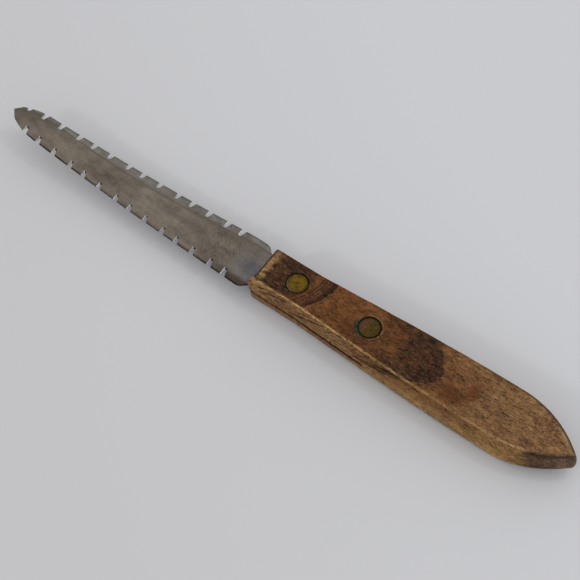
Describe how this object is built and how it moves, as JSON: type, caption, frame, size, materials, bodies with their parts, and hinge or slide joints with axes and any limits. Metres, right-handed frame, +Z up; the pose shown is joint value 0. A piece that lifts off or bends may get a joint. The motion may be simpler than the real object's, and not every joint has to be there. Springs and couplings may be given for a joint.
{
  "type": "grapefruit knife",
  "caption": "Grapefruit knife with a bent steel blade notched along both edges, held in the saw cut of a flat hardwood handle by flush brass rivets.",
  "frame": {"origin": "under the middle of the knife, on the surface that the lower flat face of its handle rests on", "axes": "+X from the tip of the blade to the butt, +Z up from the resting face, +Y across the knife"},
  "size_m": [0.1957, 0.0192, 0.0115],
  "materials": {
    "handle_wood": "old oiled hardwood, dark figure, worn edges",
    "blade_steel": "dull carbon steel with a brown-grey patina",
    "rivet_brass": "tarnished, scratched, flush with the wood"
  },
  "bodies": {
    "root": {"handle": "handle_wood", "blade": "blade_steel", "front_rivet_post": "rivet_brass", "front_rivet_socket": "rivet_brass", "rear_rivet_post": "rivet_brass", "rear_rivet_socket": "rivet_brass"}
  },
  "joints": []
}
